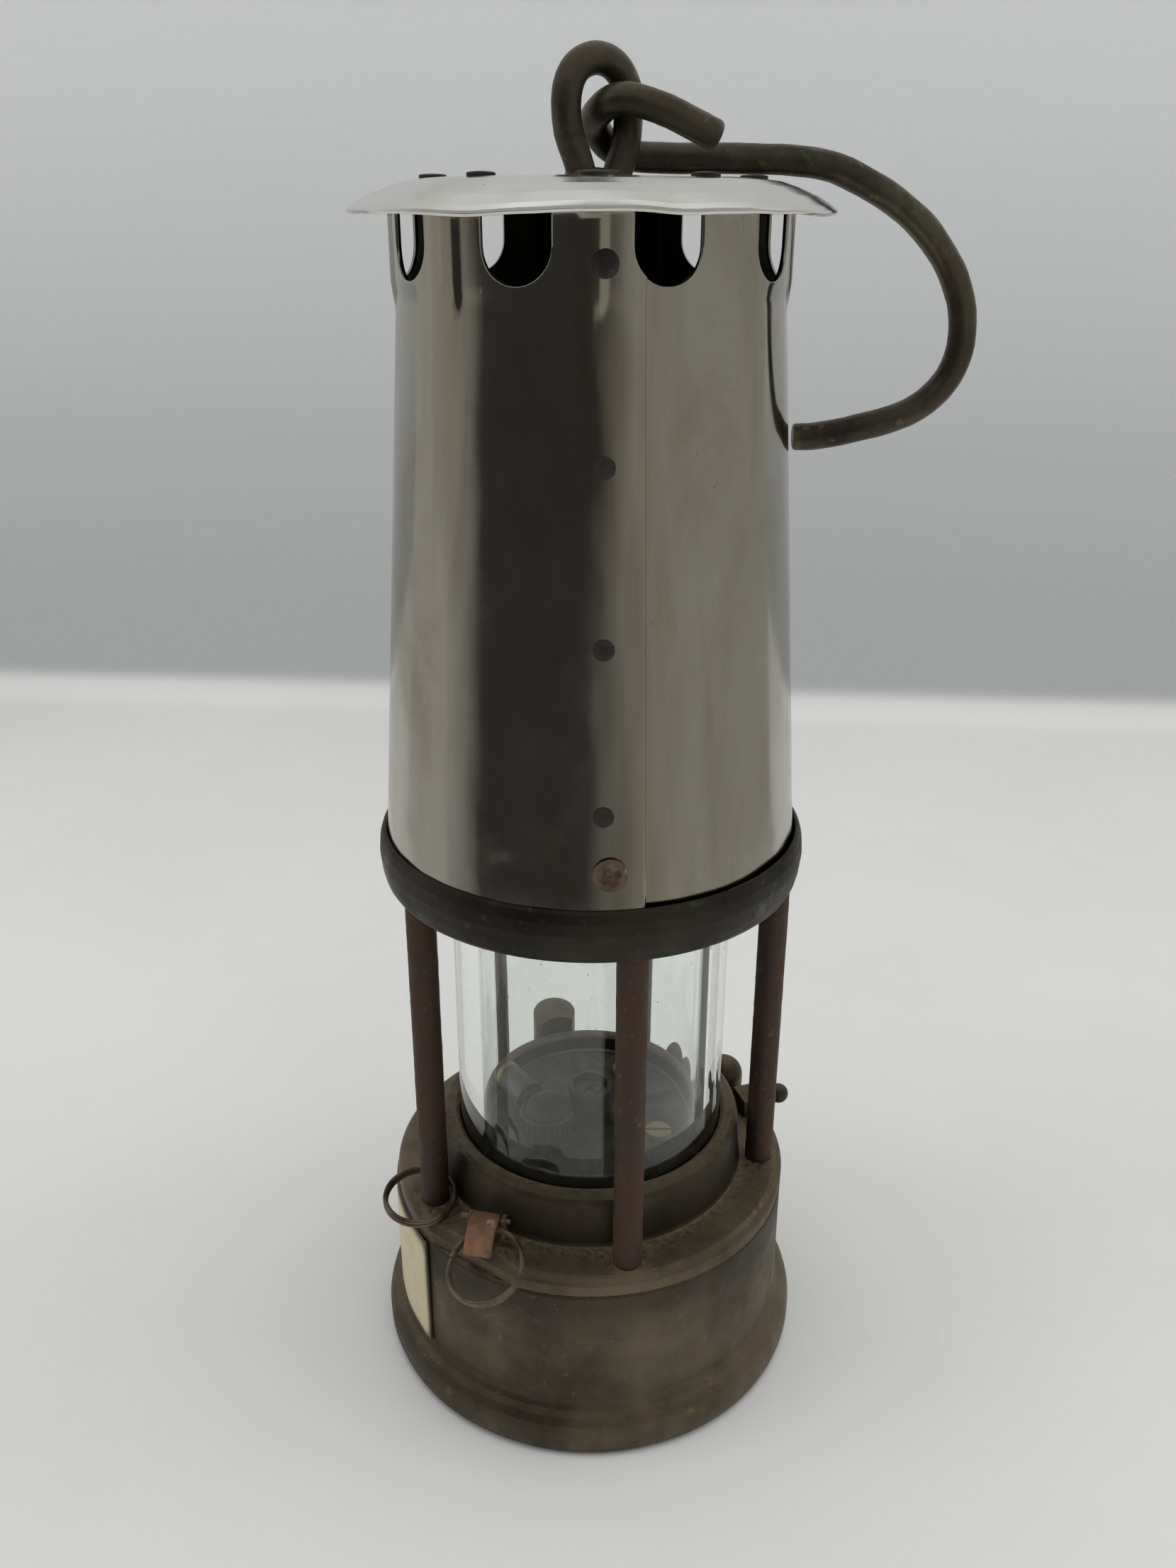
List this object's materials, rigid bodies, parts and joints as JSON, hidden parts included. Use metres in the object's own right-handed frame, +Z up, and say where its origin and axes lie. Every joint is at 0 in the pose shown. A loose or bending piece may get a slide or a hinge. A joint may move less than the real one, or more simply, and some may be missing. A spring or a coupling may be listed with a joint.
{
  "type": "miner's safety lamp",
  "caption": "Flame safety lamp: brass fuel vessel, glass between pillars, tapered steel bonnet with vent notches, domed cap and swivelling wire hook.",
  "frame": {"origin": "centre of the plane the lamp stands on, on the lamp's axis", "axes": "+Z up the lamp's axis, -Y towards the bonnet's seam (the front), +X to the side where the hook lies"},
  "size_m": [0.1119, 0.0902, 0.2533],
  "materials": {
    "vessel_brass": "patinated, worn smooth",
    "inner_brass": "clean satin",
    "dark_brass": "dark patina",
    "pillar_steel": "fine brown rust",
    "polished_steel": "polished, tarnished",
    "rivet_steel": "dark, rusted",
    "bronze_wire": "dark bronze",
    "copper_strap": "rust brown",
    "ring_wire": "dull",
    "clear_glass": "clear, dusty",
    "gauze_wire": "sooty",
    "gasket": "matt",
    "wadding": "loose fibre",
    "wick_cotton": "charred at the top",
    "flint": "matt",
    "label_enamel": "aged cream enamel"
  },
  "bodies": {
    "fuel_vessel": {"fuel_vessel": "vessel_brass", "vessel_floor": "vessel_brass", "absorbent_wadding": "wadding", "label_plate": "label_enamel", "burner_plate": "inner_brass", "plate_screws": "inner_brass", "wick_tube": "inner_brass", "wick_gland": "inner_brass", "striker_sleeve": "inner_brass", "flint_tube": "inner_brass", "flint_tube_cap": "inner_brass", "flint": "flint", "flint_spring": "ring_wire"},
    "wick_knob": {"wick_knob": "inner_brass"},
    "wick": {"wick_carrier": "inner_brass", "wick": "wick_cotton"},
    "striker": {"striker_wheel": "rivet_steel", "striker_key": "inner_brass"},
    "thread_seal": {"vessel_gasket": "gasket"},
    "cage": {"lower_ring": "vessel_brass", "pillars": "pillar_steel", "glass_cylinder": "clear_glass", "glass_seat_gaskets": "gasket", "gallery_ring": "dark_brass", "bonnet": "polished_steel", "bonnet_tongues": "polished_steel", "bonnet_tabs": "polished_steel", "seam_rivets": "rivet_steel", "bonnet_screw": "rivet_steel", "bonnet_bracket": "rivet_steel", "gauze_ring": "dark_brass", "inner_gauze": "gauze_wire", "outer_gauze": "gauze_wire", "cap": "polished_steel", "cap_rivets": "rivet_steel", "lock_housing": "vessel_brass", "lock_plunger": "rivet_steel", "lock_spring": "ring_wire", "air_valve_body": "vessel_brass", "air_valve_nozzle": "vessel_brass", "hasp_ears": "copper_strap", "hasp_pin": "ring_wire"},
    "hasp": {"hasp": "copper_strap"},
    "hasp_ring": {"hasp_ring": "ring_wire"},
    "pillar_ring": {"pillar_ring": "ring_wire"},
    "swivel": {"swivel_eye": "bronze_wire", "swivel_nut": "bronze_wire"},
    "hook": {"hook": "bronze_wire"}
  },
  "joints": [
    {"name": "wick_knob_turn", "type": "hinge", "parent": "fuel_vessel", "child": "wick_knob", "pos_m": [0, 0, 0.0045], "axis": [0, 0, 1], "range_deg": [0, 900]},
    {"name": "wick_raise", "type": "slide", "parent": "fuel_vessel", "child": "wick", "axis": [0, 0, 1], "range_m": [0, 0.005]},
    {"name": "striker_turn", "type": "hinge", "parent": "fuel_vessel", "child": "striker", "pos_m": [-0.0088, -0.0062, 0.004], "axis": [0, 0, 1], "continuous": true},
    {"name": "frame_lift", "type": "slide", "parent": "fuel_vessel", "child": "thread_seal", "axis": [0, 0, 1], "range_m": [0, 0.00635]},
    {"name": "frame_unscrew", "type": "hinge", "parent": "thread_seal", "child": "cage", "pos_m": [0, 0, 0.0385], "axis": [0, 0, 1], "range_deg": [0, 1440]},
    {"name": "hasp_lift", "type": "hinge", "parent": "cage", "child": "hasp", "pos_m": [-0.0203, -0.0286, 0.0459], "axis": [-0.9781, 0.2079, 0], "range_deg": [0, 85]},
    {"name": "hasp_ring_swing", "type": "hinge", "parent": "hasp", "child": "hasp_ring", "pos_m": [-0.02081, -0.0308, 0.04478], "axis": [-0.9781, 0.2079, 0], "range_deg": [0, 30]},
    {"name": "pillar_ring_slide", "type": "slide", "parent": "cage", "child": "pillar_ring", "axis": [0, 0, 1], "range_m": [0, 0.06]},
    {"name": "swivel_turn", "type": "hinge", "parent": "cage", "child": "swivel", "pos_m": [0, 0, 0.2335], "axis": [0, 0, 1], "continuous": true},
    {"name": "hook_lift", "type": "hinge", "parent": "swivel", "child": "hook", "pos_m": [0.00071, 0.00044, 0.24337], "axis": [0.5299, -0.848, 0], "range_deg": [0, 115]}
  ],
  "couplings": [
    {"joint": "wick_raise", "follows": "wick_knob_turn", "m_per_rad": 0.00031831},
    {"joint": "frame_lift", "follows": "frame_unscrew", "m_per_rad": 0.00025266}
  ]
}
